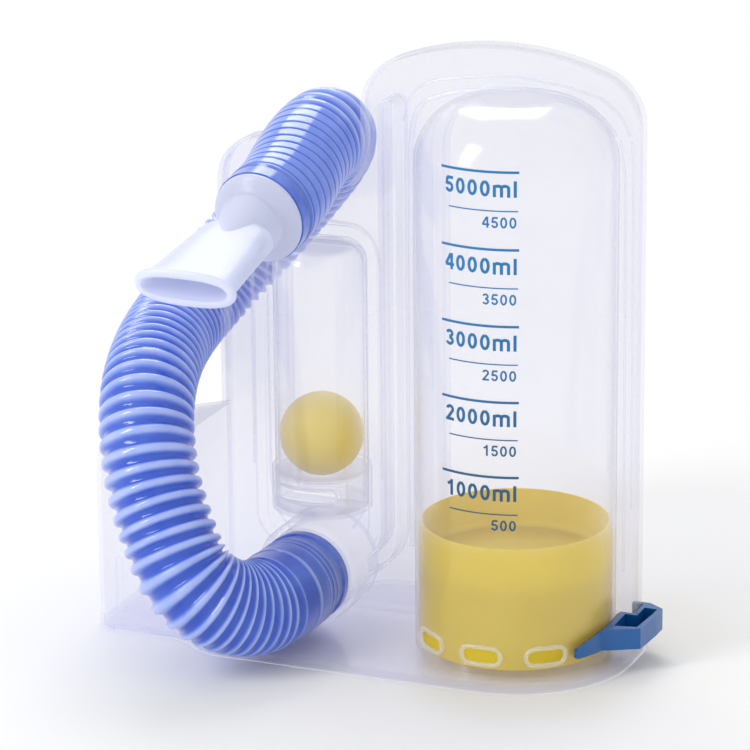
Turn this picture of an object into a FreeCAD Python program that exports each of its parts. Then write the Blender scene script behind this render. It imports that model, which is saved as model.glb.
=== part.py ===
import FreeCAD, Part
import math
import os
import Sketcher
from types import SimpleNamespace

os.makedirs("parts", exist_ok=True)
doc = FreeCAD.newDocument("spirometer")
sheet = doc.addObject("Spreadsheet::Sheet", "sizes")

# Driving dimensions in millimetres and degrees.
# X runs to the right, Y to the back and Z up; the volume chamber's axis is at X = 0, Y = 0.
sizes = {
    "wall": 1.2,
    "running_gap": 0.4,
    "seat_gap": 0.2,
    "seam_y": 15.0,
    "half_depth": 5.0,
    "overlap": 1.0,
    "cut_margin": 1.0,
    "tall_right": 44.5,
    "tall_left": -66.8,
    "shoulder_height": 207.0,
    "shoulder_radius": 22.0,
    "crown_height": 235.0,
    "low_left": -127.0,
    "notch_x": -86.3,
    "notch_height": 190.3,
    "tube_x": -84.0,
    "horn_radius": 2.5,
    "chamber_radius": 38.5,
    "chamber_top": 219.0,
    "chamber_dome": 25.0,
    "slot_width": 15.0,
    "slot_height": 6.0,
    "slot_centre_height": 11.6,
    "slot_spacing": 38.0,
    "tube_y": 9.0,
    "tube_radius": 18.2,
    "tube_top": 152.0,
    "tube_dome": 6.0,
    "plenum_radius": 19.6,
    "plenum_bottom": 46.6,
    "plenum_top": 63.2,
    "inlet_width": 27.0,
    "inlet_height": 5.6,
    "inlet_centre_height": 55.9,
    "bead_x": -86.0,
    "bead_half_width": 26.0,
    "bead_width": 4.4,
    "bead_rise": 1.8,
    "bead_top": 160.5,
    "bead_bottom": 28.0,
    "bead_corner": 13.0,
    "duct_left": -57.0,
    "duct_width": 7.6,
    "duct_top": 213.0,
    "duct_bend_radius": 22.0,
    "duct_front": 3.0,
    "port_height": 23.0,
    "boss_radius": 21.0,
    "boss_bevel": 2.6,
    "boss_front": -8.8,
    "spigot_radius": 15.2,
    "spigot_wall": 1.5,
    "spigot_length": 9.0,
    "foot_radius": 47.0,
    "foot_height": 4.4,
    "foot_step_x": -104.0,
    "foot_step_run": 28.0,
    "foot_left_front": -36.0,
    "foot_back": 47.0,
    "foot_back_left": 31.0,
    "foot_corner": 9.0,
    "wing_left": -163.5,
    "wing_front": -29.0,
    "wing_left_height": 73.0,
    "wing_right_height": 82.0,
    "rib_x": -154.0,
    "rib_width": 2.6,
    "rib_depth": 2.6,
    "rib_height": 29.0,
    "rib_foot_spread": 5.0,
    "arch_width": 16.0,
    "arch_height": 2.4,
    "base_bottom": 0.5,
    "base_top": 3.0,
    "floor_height": 6.0,
    "piston_height": 47.8,
    "piston_wall": 1.3,
    "piston_cup_depth": 15.0,
    "rim_taper": 0.8,
    "ball_radius": 16.5,
    "seat_hole_radius": 8.8,
    "seat_thickness": 1.2,
    "hose_radius": 18.4,
    "cuff_radius": 18.2,
    "cuff_length": 9.0,
    "cuff_wall": 1.6,
    "end_cuff_length": 7.0,
    "droop": 12.0,
    "swing": 3.6,
    "mouth_width": 36.0,
    "mouth_height": 11.4,
    "lip_rise": 2.2,
    "lip_length": 4.0,
    "mouthpiece_length": 61.0,
    "mouthpiece_wall": 1.5,
    "mouthpiece_root_radius": 13.2,
    "mouthpiece_flat_start": 0.55,
    "mouthpiece_flat_taper": 0.93,
    "collar_radius": 17.8,
    "collar_thickness": 2.6,
    "pointer_bottom": 9.6,
    "pointer_height": 8.4,
    "pointer_blade": 2.2,
    "pointer_reach": 53.5,
    "pointer_start": 55.0,
    "pointer_flare": 73.0,
    "pointer_corner_x": 52.4,
    "pointer_corner_y": -5.0,
    "pointer_tip_height": 2.6,
    "pointer_floor": 3.0,
}
for line, (name, number) in enumerate(sizes.items(), 1):
    sheet.set("A%d" % line, name)
    sheet.set("B%d" % line, str(number))
    sheet.setAlias("B%d" % line, name)
doc.recompute()


# A size with its number and its formula in the sheet's cells, so that a sketch gets both.
class Size:
    def __init__(self, value, text):
        self.value = value
        self.text = text

    def __add__(self, other):
        other = size_of(other)
        return Size(self.value + other.value, "(%s + %s)" % (self.text, other.text))

    def __sub__(self, other):
        other = size_of(other)
        return Size(self.value - other.value, "(%s - %s)" % (self.text, other.text))

    def __mul__(self, other):
        other = size_of(other)
        return Size(self.value * other.value, "(%s * %s)" % (self.text, other.text))

    def __truediv__(self, other):
        other = size_of(other)
        return Size(self.value / other.value, "(%s / %s)" % (self.text, other.text))

    def __neg__(self):
        return Size(-self.value, "(0 - %s)" % self.text)

    def __rsub__(self, other):
        return size_of(other) - self

    def __radd__(self, other):
        return size_of(other) + self

    def __rmul__(self, other):
        return size_of(other) * self


def size_of(number):
    if isinstance(number, Size):
        return number
    return Size(float(number), "(%s)" % float(number))


def root(size):
    return Size(math.sqrt(size.value), "sqrt(%s)" % size.text)


def sine(angle):
    return Size(math.sin(math.radians(angle.value)), "sin(%s * 1 deg)" % angle.text)


def cosine(angle):
    return Size(math.cos(math.radians(angle.value)), "cos(%s * 1 deg)" % angle.text)


s = SimpleNamespace(**{name: Size(float(number), "sizes." + name) for name, number in sizes.items()})
zero = size_of(0)


def bind(thing, path, size):
    thing.setExpression(path, size_of(size).text)


# A new piece; the whole object stands with its footprint's middle on the origin.
shift_x = -(s.wing_left + s.pointer_reach) / 2
shift_y = -(s.foot_back - s.foot_radius) / 2
pieces = []


def place(thing, x=zero, y=zero, z=zero):
    bind(thing, ".Placement.Base.x", shift_x + x)
    bind(thing, ".Placement.Base.y", shift_y + y)
    bind(thing, ".Placement.Base.z", z)
    pieces.append(thing)


def new_body(label, x=zero, y=zero, z=zero):
    body = doc.addObject("PartDesign::Body", label)
    body.Label = label
    place(body, x, y, z)
    return body


# A sketch on one of its body's own planes, moved by x, y and along the normal by z.
def new_sketch(body, name, role, x=zero, y=zero, z=zero, turn=None):
    plane = [feature for feature in body.Origin.OriginFeatures if feature.Role == role][0]
    sketch = body.newObject("Sketcher::SketchObject", name)
    sketch.AttachmentSupport = (plane, [""])
    sketch.MapMode = "FlatFace"
    rotation = FreeCAD.Rotation(FreeCAD.Vector(0, 1, 0), turn.value if turn else 0)
    base = FreeCAD.Vector(size_of(x).value, size_of(y).value, size_of(z).value)
    sketch.AttachmentOffset = FreeCAD.Placement(base, rotation)
    bind(sketch, ".AttachmentOffset.Base.x", x)
    bind(sketch, ".AttachmentOffset.Base.y", y)
    bind(sketch, ".AttachmentOffset.Base.z", z)
    return sketch


def fix(sketch, kind, arguments, size):
    index = sketch.addConstraint(Sketcher.Constraint(kind, *arguments, size.value))
    bind(sketch, "Constraints[%d]" % index, size)


def fix_point(sketch, shape, point, x, y):
    fix(sketch, "DistanceX", (-1, 1, shape, point), size_of(x))
    fix(sketch, "DistanceY", (-1, 1, shape, point), size_of(y))


# A closed outline: each step is a line to (x, y), or an arc to (x, y) with a radius
# that turns left (+1) or right (-1) as the outline is walked.
def outline(sketch, start, steps):
    here = [size_of(start[0]), size_of(start[1])]
    first = None
    before = None
    for step in steps:
        x, y = size_of(step[0]), size_of(step[1])
        a = FreeCAD.Vector(here[0].value, here[1].value, 0)
        b = FreeCAD.Vector(x.value, y.value, 0)
        if len(step) == 2:
            index = sketch.addGeometry(Part.LineSegment(a, b), False)
            entry, leave = 1, 2
        else:
            radius, side = size_of(step[2]), step[3]
            chord = b - a
            rise = math.sqrt(max(radius.value ** 2 - chord.Length ** 2 / 4, 0))
            normal = FreeCAD.Vector(-chord.y, chord.x, 0).normalize()
            centre = (a + b) / 2 + normal * (rise * side)
            begin, end = (a, b) if side > 0 else (b, a)
            angles = [math.atan2(p.y - centre.y, p.x - centre.x) for p in (begin, end)]
            circle = Part.Circle(centre, FreeCAD.Vector(0, 0, 1), radius.value)
            index = sketch.addGeometry(Part.ArcOfCircle(circle, angles[0], angles[1]), False)
            entry, leave = (1, 2) if side > 0 else (2, 1)
            fix(sketch, "Radius", (index,), radius)
        if before is not None:
            sketch.addConstraint(Sketcher.Constraint("Coincident", before[0], before[1], index, entry))
        else:
            first = (index, entry)
        fix_point(sketch, index, leave, x, y)
        before = (index, leave)
        here = [x, y]
    sketch.addConstraint(Sketcher.Constraint("Coincident", before[0], before[1], first[0], first[1]))
    return sketch


def circle(sketch, x, y, radius):
    centre = FreeCAD.Vector(size_of(x).value, size_of(y).value, 0)
    index = sketch.addGeometry(Part.Circle(centre, FreeCAD.Vector(0, 0, 1), radius.value), False)
    fix_point(sketch, index, 3, x, y)
    fix(sketch, "Radius", (index,), radius)
    return sketch


# A rounded slot or oval about (x, y): two half circles joined by straight runs.
def oval(sketch, x, y, width, height):
    r = size_of(height) / 2
    half = size_of(width) / 2 - r
    x, y = size_of(x), size_of(y)
    steps = [(x + half, y - r), (x + half + r, y, r, 1), (x + half, y + r, r, 1),
             (x - half, y + r), (x - half - r, y, r, 1), (x - half, y - r, r, 1)]
    return outline(sketch, (x - half, y - r), steps)


def rectangle(sketch, left, bottom, right, top):
    return outline(sketch, (left, bottom), [(right, bottom), (right, top), (left, top), (left, bottom)])


def feature(body, kind, name, sketch):
    result = body.newObject("PartDesign::" + kind, name)
    result.Profile = sketch
    sketch.Visibility = False
    return result


def pad(body, name, sketch, length, reverse=False):
    result = feature(body, "Pad", name, sketch)
    bind(result, "Length", length)
    result.Reversed = reverse
    return result


def pocket(body, name, sketch, length, reverse=False, both=False):
    result = feature(body, "Pocket", name, sketch)
    bind(result, "Length", length)
    result.Reversed = reverse
    result.Midplane = both
    return result


def revolve(body, name, sketch, axis="V_Axis"):
    result = feature(body, "Revolution", name, sketch)
    result.ReferenceAxis = (sketch, [axis])
    result.Angle = 360
    return result


def groove(body, name, sketch, axis="V_Axis"):
    result = feature(body, "Groove", name, sketch)
    result.ReferenceAxis = (sketch, [axis])
    result.Angle = 360
    return result


# The housing's face outline, pulled in by inset: a tall part with a crowned top on the right
# and a low part on the left whose top has a round notch that the hose lies in.
def face_outline(sketch, inset, bottom):
    right = s.tall_right - inset
    left = s.tall_left + inset
    corner = s.shoulder_radius - inset
    crown = s.crown_height - inset
    middle = (s.tall_right + s.tall_left) / 2
    half = (right - left) / 2 - corner
    rise = crown - s.shoulder_height
    crown_radius = (rise * rise + half * half - corner * corner) / ((rise - corner) * 2)
    span = crown_radius - corner
    turn_x = half + corner * half / span
    turn_z = s.shoulder_height + corner * (crown_radius - rise) / span
    notch = s.notch_x - s.tall_left
    notch_radius = inset - notch
    notch_left = s.notch_x - notch_radius
    horn = s.horn_radius - inset
    lobe_x = notch_left - horn
    lobe_top = s.notch_height + horn
    lobe_radius = lobe_x - s.low_left - inset
    steps = [
        (right, s.shoulder_height),
        (middle + turn_x, turn_z, corner, 1),
        (middle - turn_x, turn_z, crown_radius, 1),
        (left, s.shoulder_height, corner, 1),
        (left, s.notch_height),
        (s.notch_x, s.notch_height - notch_radius, notch_radius, -1),
        (notch_left, s.notch_height, notch_radius, -1),
        (lobe_x, lobe_top, horn, 1),
        (s.low_left + inset, lobe_top - lobe_radius, lobe_radius, 1),
        (s.low_left + inset, bottom),
        (right, bottom),
    ]
    return outline(sketch, (right, bottom), steps)


# The foot's outline on the ground, pulled in by inset; the front and back halves meet at the seam.
def foot_front_steps(inset, seam):
    right = s.foot_radius - inset
    low = s.foot_left_front + inset
    left = s.wing_left + inset
    corner = s.foot_corner - inset
    drop = s.foot_radius - inset + low
    run = s.foot_step_run
    bend = (run * run + drop * drop) / (drop * 4)
    step_left = s.foot_step_x - run
    return [
        (right, zero),
        (zero, -right, right, -1),
        (s.foot_step_x, -right),
        ((s.foot_step_x + step_left) / 2, (low - right) / 2, bend, -1),
        (step_left, low, bend, 1),
        (left + corner, low),
        (left, low + corner, corner, -1),
        (left, seam),
    ]


def foot_back_steps(inset):
    right = s.foot_radius - inset
    back = s.foot_back - inset
    low = s.foot_back_left - inset
    left = s.wing_left + inset
    corner = s.foot_corner - inset
    drop = back - low
    sweep = back - s.seam_y
    run = s.foot_step_run
    bend = (run * run + drop * drop) / (drop * 4)
    return [
        (left, low - corner),
        (left + corner, low, corner, -1),
        (s.low_left / 2 - run, low),
        (s.low_left / 2 - run / 2, (low + back) / 2, bend, 1),
        (s.low_left / 2, back, bend, -1),
        (right - sweep, back),
        (right, s.seam_y, sweep, -1),
    ]


def foot_half(sketch, inset, side, seam):
    right = s.foot_radius - inset
    left = s.wing_left + inset
    if side > 0:
        outline(sketch, (right, seam), foot_front_steps(inset, seam) + [(right, seam)])
    else:
        outline(sketch, (left, seam), foot_back_steps(inset) + [(right, seam), (left, seam)])


# One half of the housing; side is +1 for the half in front of the seam and -1 for the half behind.
def housing_half(body, side):
    front = side > 0
    seam = s.seam_y + s.overlap * side
    at_seam = -seam
    shallow = s.half_depth + s.overlap - s.wall

    pad(body, "face", face_outline(new_sketch(body, "face_outline", "XZ_Plane", z=at_seam), zero, zero),
        s.half_depth + s.overlap, not front)
    pocket(body, "face_hollow",
           face_outline(new_sketch(body, "face_inside", "XZ_Plane", z=at_seam), s.wall, -s.cut_margin),
           shallow, front)

    # Low leg at the left that keeps the object from tipping over.
    depth = (s.seam_y - s.wing_front if front else s.half_depth) + s.overlap
    slope = (s.wing_right_height - s.wing_left_height) / (s.low_left - s.wing_left)
    for name, inset, bottom in (("leg", zero, zero), ("leg_hollow", s.wall, -s.cut_margin)):
        left = s.wing_left + inset
        right = s.low_left + s.wall - inset
        top_left = s.wing_left_height - inset
        corner = s.foot_corner - inset
        sketch = new_sketch(body, name + "_outline", "XZ_Plane", z=at_seam)
        outline(sketch, (left, bottom), [
            (right, bottom),
            (right, s.wing_right_height - inset),
            (left + corner, top_left + corner * slope),
            (left, top_left + corner * slope - corner, corner, 1),
            (left, bottom)])
        if name == "leg":
            pad(body, name, sketch, depth, not front)
        else:
            pocket(body, name, sketch, depth - s.wall, front)

    # Foot ledge.
    sketch = new_sketch(body, "foot_outline", "XY_Plane")
    foot_half(sketch, zero, side, seam)
    pad(body, "foot", sketch, s.foot_height)

    # Flow tube that the ball rises in, with the wider plenum under it.
    tube = new_sketch(body, "tube_outline", "YZ_Plane", x=s.tube_y, z=s.tube_x)
    tube_profile(tube, zero)
    revolve(body, "tube", tube)
    hollow = new_sketch(body, "tube_inside", "YZ_Plane", x=s.tube_y, z=s.tube_x)
    tube_profile(hollow, s.wall)
    groove(body, "tube_hollow", hollow)

    if front:
        front_details(body, at_seam)

    # Volume chamber with its domed top, open at the bottom.
    for name, inset in (("chamber", zero), ("chamber_hollow", s.wall)):
        radius = s.chamber_radius - inset
        top = s.chamber_top - inset
        dome = s.chamber_dome - inset
        bottom = zero if name == "chamber" else -s.cut_margin
        sketch = new_sketch(body, name + "_outline", "YZ_Plane")
        outline(sketch, (zero, bottom), [
            (radius, bottom), (radius, top - dome), (radius - dome, top, dome, 1),
            (zero, top), (zero, bottom)])
        if name == "chamber":
            revolve(body, name, sketch)
        else:
            groove(body, name, sketch)

    # The underside is hollow and takes the base plate.
    sketch = new_sketch(body, "foot_inside", "XY_Plane")
    foot_half(sketch, s.wall, side, seam)
    pocket(body, "foot_hollow", sketch, s.foot_height - s.wall, True)

    # What lies beyond the seam belongs to the other half.
    sketch = new_sketch(body, "seam_cut_outline", "XZ_Plane", z=-s.seam_y)
    rectangle(sketch, s.wing_left - s.cut_margin, -s.cut_margin, s.pointer_reach, s.crown_height + s.cut_margin)
    pocket(body, "seam_cut", sketch, s.foot_radius * 2, not front)

    if front:
        front_openings(body)
    return body


def tube_profile(sketch, inset):
    tube = s.tube_radius - inset
    wide = s.plenum_radius - inset
    dome = s.tube_dome - inset
    top = s.tube_top - inset
    bottom = s.plenum_bottom + inset
    step = s.plenum_top - inset
    return outline(sketch, (zero, bottom), [
        (wide, bottom), (wide, step), (tube, step), (tube, top - dome),
        (tube - dome, top, dome, 1), (zero, top), (zero, bottom)])


# The bead that frames the flow tube, the air duct and the hose boss, all on the front half.
def front_details(body, at_seam):
    sketch = new_sketch(body, "bead_outline", "XZ_Plane", z=-(s.seam_y - s.half_depth))
    for inset in (zero, s.bead_width):
        half = s.bead_half_width - inset
        corner = s.bead_corner - inset
        top = s.bead_top - inset
        bottom = s.bead_bottom + inset
        outline(sketch, (s.bead_x - half + corner, bottom), [
            (s.bead_x + half - corner, bottom),
            (s.bead_x + half, bottom + corner, corner, 1),
            (s.bead_x + half, top - corner),
            (s.bead_x + half - corner, top, corner, 1),
            (s.bead_x - half + corner, top),
            (s.bead_x - half, top - corner, corner, 1),
            (s.bead_x - half, bottom + corner),
            (s.bead_x - half + corner, bottom, corner, 1)])
    pad(body, "bead", sketch, s.bead_rise)

    for name, inset in (("duct", zero), ("duct_hollow", s.wall)):
        left = s.duct_left + inset
        right = s.duct_left + s.duct_width - inset
        cap = (right - left) / 2
        top = s.duct_top - inset
        end = s.tube_x + s.boss_radius / 3
        outer = s.duct_bend_radius - inset
        inner = s.duct_bend_radius - s.duct_width + inset
        level = s.port_height - s.duct_width / 2 + s.duct_bend_radius
        sketch = new_sketch(body, name + "_outline", "XZ_Plane", z=at_seam)
        outline(sketch, (right, level), [
            (right, top - cap),
            (right - cap, top, cap, 1),
            (left, top - cap, cap, 1),
            (left, level),
            (left - inner, level - inner, inner, -1),
            (end, level - inner),
            (end, level - outer),
            (right - outer, level - outer),
            (right, level, outer, 1)])
        length = s.seam_y + s.overlap - s.duct_front - inset
        if name == "duct":
            pad(body, name, sketch, length)
        else:
            pocket(body, name, sketch, length, True)

    boss = new_sketch(body, "boss_outline", "XY_Plane", x=s.tube_x, z=s.port_height)
    bevel = s.boss_bevel
    outline(boss, (zero, s.seam_y), [
        (zero, s.boss_front), (s.boss_radius - bevel, s.boss_front),
        (s.boss_radius, s.boss_front + bevel, bevel, 1), (s.boss_radius, s.seam_y),
        (zero, s.seam_y)])
    revolve(body, "boss", boss)

    # Rib with a flared foot on the front of the leg.
    rib = new_sketch(body, "rib_outline", "XZ_Plane", z=-s.wing_front - s.wall / 2)
    half = s.rib_width / 2
    spread = s.rib_foot_spread
    base = s.foot_height - s.wall / 2
    outline(rib, (s.rib_x - half - spread, base), [
        (s.rib_x + half + spread, base),
        (s.rib_x + half, base + spread, spread, -1),
        (s.rib_x + half, s.rib_height - half),
        (s.rib_x, s.rib_height, half, 1),
        (s.rib_x - half, s.rib_height - half, half, 1),
        (s.rib_x - half, base + spread),
        (s.rib_x - half - spread, base, spread, -1)])
    pad(body, "rib", rib, s.rib_depth + s.wall / 2)

    hollow = new_sketch(body, "boss_inside", "XZ_Plane", z=at_seam)
    circle(hollow, s.tube_x, s.port_height, s.boss_radius - s.boss_bevel)
    pocket(body, "boss_hollow", hollow, s.seam_y + s.overlap - s.boss_front - s.wall, True)


# Holes in the front half: the chamber's slots, the plenum's inlet, the port and the leg's arch.
def front_openings(body):
    sketch = new_sketch(body, "slot_outline", "XZ_Plane", turn=-s.slot_spacing)
    oval(sketch, zero, s.slot_centre_height, s.slot_width, s.slot_height)
    slot = pocket(body, "slot", sketch, s.chamber_radius + s.cut_margin, True)
    pattern = body.newObject("PartDesign::PolarPattern", "slots")
    pattern.Originals = [slot]
    pattern.Axis = ([item for item in body.Origin.OriginFeatures if item.Role == "Z_Axis"][0], [""])
    bind(pattern, "Angle", s.slot_spacing * 2)
    pattern.Occurrences = 3
    body.Tip = pattern

    sketch = new_sketch(body, "inlet_outline", "XZ_Plane", z=-s.seam_y)
    oval(sketch, s.tube_x, s.inlet_centre_height, s.inlet_width, s.inlet_height)
    pocket(body, "inlet", sketch, s.seam_y - s.tube_y + s.plenum_radius + s.cut_margin, True)

    sketch = new_sketch(body, "port_outline", "XZ_Plane", z=-s.seam_y)
    circle(sketch, s.tube_x, s.port_height, s.spigot_radius + s.seat_gap)
    pocket(body, "port", sketch, s.seam_y - s.boss_front + s.cut_margin, True)

    sketch = new_sketch(body, "arch_outline", "XZ_Plane", z=-s.wing_front)
    left = s.wing_left + s.foot_corner
    rectangle(sketch, left, -s.cut_margin, left + s.arch_width, s.arch_height)
    pocket(body, "arch", sketch, s.wing_front - s.foot_left_front + s.cut_margin, True)


front_shell = housing_half(new_body("front_shell"), 1)
rear_shell = housing_half(new_body("rear_shell"), -1)

# The base plate closes the underside and carries the chamber's floor.
base_plate = new_body("base_plate")
margin = s.wall + s.seat_gap
plan = new_sketch(base_plate, "plate_outline", "XY_Plane", z=s.base_bottom)
corner_x = s.foot_radius - margin
outline(plan, (corner_x, s.seam_y),
        foot_front_steps(margin, s.seam_y)[:-1] + foot_back_steps(margin))
pad(base_plate, "plate", plan, s.base_top - s.base_bottom)
floor_radius = s.chamber_radius - s.wall - s.seat_gap
plan = new_sketch(base_plate, "floor_outline", "XY_Plane", z=s.base_top)
pad(base_plate, "floor", circle(plan, zero, zero, floor_radius), s.floor_height - s.base_top)
plan = new_sketch(base_plate, "floor_inside", "XY_Plane", z=s.base_bottom)
pocket(base_plate, "floor_hollow", circle(plan, zero, zero, floor_radius - s.wall * 2),
       s.floor_height - s.base_bottom - s.wall, True)

# The piston is a yellow cup with a long skirt that guides it in the chamber.
piston_foot = s.floor_height + s.seat_gap
piston = new_body("piston", z=piston_foot)
outer = s.chamber_radius - s.wall - s.running_gap
inner = outer - s.piston_wall
web_top = s.piston_height - s.piston_cup_depth
web_bottom = web_top - s.piston_wall
fillet = s.piston_wall * 2
profile = new_sketch(piston, "piston_outline", "XZ_Plane")
outline(profile, (inner, zero), [
    (outer, zero), (outer, s.piston_height - s.rim_taper * 4),
    (outer - s.rim_taper, s.piston_height), (inner, s.piston_height),
    (inner, web_top + fillet), (inner - fillet, web_top, fillet, -1), (zero, web_top),
    (zero, web_bottom), (inner, web_bottom), (inner, zero)])
revolve(piston, "cup", profile)

# The ball rests in the hole of its seat.
seat_top = s.plenum_top - s.wall - s.seat_gap
ball_height = seat_top + root(s.ball_radius * s.ball_radius - s.seat_hole_radius * s.seat_hole_radius)
ball = doc.addObject("Part::Sphere", "ball")
ball.Label = "ball"
bind(ball, "Radius", s.ball_radius)
place(ball, s.tube_x, s.tube_y, ball_height + s.seat_gap)

ball_seat = new_body("ball_seat", s.tube_x, s.tube_y)
seat_outer = s.plenum_radius - s.wall - s.seat_gap
seat_bottom = s.plenum_bottom + s.wall + s.seat_gap
profile = new_sketch(ball_seat, "seat_outline", "XZ_Plane")
outline(profile, (seat_outer - s.seat_thickness, seat_bottom), [
    (seat_outer, seat_bottom), (seat_outer, seat_top), (s.seat_hole_radius, seat_top),
    (s.seat_hole_radius, seat_top - s.seat_thickness),
    (seat_outer - s.seat_thickness, seat_top - s.seat_thickness),
    (seat_outer - s.seat_thickness, seat_bottom)])
revolve(ball_seat, "seat", profile)
sketch = new_sketch(ball_seat, "inlet_outline", "XZ_Plane")
rectangle(sketch, -s.inlet_width / 2 - s.cut_margin, seat_bottom + s.seat_thickness,
          s.inlet_width / 2 + s.cut_margin, seat_top - s.seat_thickness)
pocket(ball_seat, "inlet", sketch, s.plenum_radius * 2, both=True)

# The spigot stands in the boss and the hose's lower cuff is pushed over it.
port_spigot = new_body("port_spigot", s.tube_x, s.boss_front, s.port_height)
flange = s.boss_radius - s.boss_bevel - s.seat_gap * 2
bore = s.spigot_radius - s.spigot_wall
back = s.wall + s.seat_gap
profile = new_sketch(port_spigot, "spigot_outline", "XY_Plane")
outline(profile, (bore, back + s.spigot_wall), [
    (bore, -s.spigot_length), (s.spigot_radius - s.seat_gap, -s.spigot_length),
    (s.spigot_radius, -s.spigot_length / 2), (s.spigot_radius, back), (flange, back),
    (flange, back + s.spigot_wall), (bore, back + s.spigot_wall)])
revolve(port_spigot, "spigot", profile)

# Lower cuff with two rings at its mouth.
cuff_lower = new_body("hose_cuff_lower", s.tube_x, s.boss_front, s.port_height)
cuff_bore = s.spigot_radius + s.seat_gap
cuff_start = -s.seat_gap
cuff_end = -s.seat_gap - s.cuff_length
ring = s.cuff_wall / 2
profile = new_sketch(cuff_lower, "cuff_outline", "XY_Plane")
outline(profile, (cuff_bore, cuff_end), [
    (s.cuff_radius - ring, cuff_end), (s.cuff_radius - ring, cuff_start - ring * 5),
    (s.cuff_radius, cuff_start - ring * 4), (s.cuff_radius, cuff_start), (cuff_bore, cuff_start),
    (cuff_bore, cuff_end)])
revolve(cuff_lower, "cuff", profile)

# The hose's route, from the lower cuff round the left side and over the notch to the free end.
hose_points = [
    (-84.0, -18.2, 23.0), (-84.0, -27.0, 23.0), (-84.8, -38.0, 23.0), (-86.9, -50.0, 23.1),
    (-92.7, -59.9, 25.7), (-100.2, -66.4, 31.8), (-108.4, -68.4, 40.7), (-116.4, -64.4, 54.6),
    (-124.8, -58.6, 69.8), (-131.0, -50.8, 85.8), (-136.6, -38.0, 99.2), (-143.0, -16.0, 107.0),
    (-147.5, 8.0, 111.5), (-147.0, 26.0, 117.0), (-140.5, 39.5, 127.0), (-129.0, 46.0, 140.5),
    (-115.0, 48.0, 157.0), (-101.0, 46.0, 173.5), (-91.0, 38.5, 186.0), (-87.2, 25.5, 192.6),
    (-86.4, 9.5, 191.4), (-85.6, -7.0, 187.0), (-84.8, -25.0, 180.9)]

# The free end hangs forwards, drooping and swung a little to the left.
end_x, end_y, end_z = (-84.3, -38.0, 178.1)
end_direction = (-sine(s.swing) * cosine(s.droop), -cosine(s.swing) * cosine(s.droop), -sine(s.droop))
last_run = 13.0
hose_points[-1] = tuple(end - last_run * along.value
                        for end, along in zip((end_x, end_y, end_z), end_direction))
hose_points.append((end_x, end_y, end_z))


# Straight runs joined by tangent arcs that are as large as the runs beside each point allow.
def rounded_path(points):
    corners = [FreeCAD.Vector(*point) for point in points]
    edges = []
    radii = []
    begin = corners[0]
    for before, corner, after in zip(corners, corners[1:], corners[2:]):
        to_before = (before - corner).normalize()
        to_after = (after - corner).normalize()
        turn = math.pi - to_before.getAngle(to_after)
        run = 0.45 * min(before.distanceToPoint(corner), corner.distanceToPoint(after))
        radii.append(run / math.tan(turn / 2))
        arc_start = corner + to_before * run
        arc_end = corner + to_after * run
        middle = (to_before + to_after).normalize()
        reach = radii[-1] / math.cos(turn / 2) - radii[-1]
        edges.append(Part.LineSegment(begin, arc_start).toShape())
        edges.append(Part.Arc(arc_start, corner + middle * reach, arc_end).toShape())
        begin = arc_end
    edges.append(Part.LineSegment(begin, corners[-1]).toShape())
    return Part.Wire(edges), radii


path, radii = rounded_path(hose_points)
start, second = [FreeCAD.Vector(*point) for point in hose_points[:2]]
section = Part.Wire([Part.Circle(start, second - start, sizes["hose_radius"]).toShape()])
hose = doc.addObject("Part::Feature", "hose")
hose.Label = "hose"
hose.Shape = path.makePipeShell([section], True, False)
place(hose)
swept = math.pi * sizes["hose_radius"] ** 2 * path.Length
print("hose length %.1f, radii %s" % (path.Length, ["%.0f" % r for r in radii]))
print("hose volume %.0f, section times length %.0f" % (hose.Shape.Volume, swept))

# Pieces on the hose's free end share its axis.
def end_body(label, along):
    body = doc.addObject("PartDesign::Body", label)
    body.Label = label
    at = [size_of(end) + direction * along
          for end, direction in zip((end_x, end_y, end_z), end_direction)]
    base = "vector(%s; %s; %s)" % ((shift_x + at[0]).text, (shift_y + at[1]).text, at[2].text)
    turn = "rotation(vector(0; 0; 1); %s) * rotation(vector(1; 0; 0); %s)" % (
        (-s.swing).text, s.droop.text)
    body.setExpression("Placement", "placement(%s; %s)" % (base, turn))
    pieces.append(body)
    return body


cuff_upper = end_body("hose_cuff_upper", s.seat_gap)
profile = new_sketch(cuff_upper, "cuff_outline", "XY_Plane")
outline(profile, (cuff_bore, zero), [
    (cuff_bore, -s.end_cuff_length), (s.cuff_radius, -s.end_cuff_length),
    (s.cuff_radius, -ring * 2), (s.cuff_radius - ring, zero), (cuff_bore, zero)])
revolve(cuff_upper, "cuff", profile)

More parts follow.
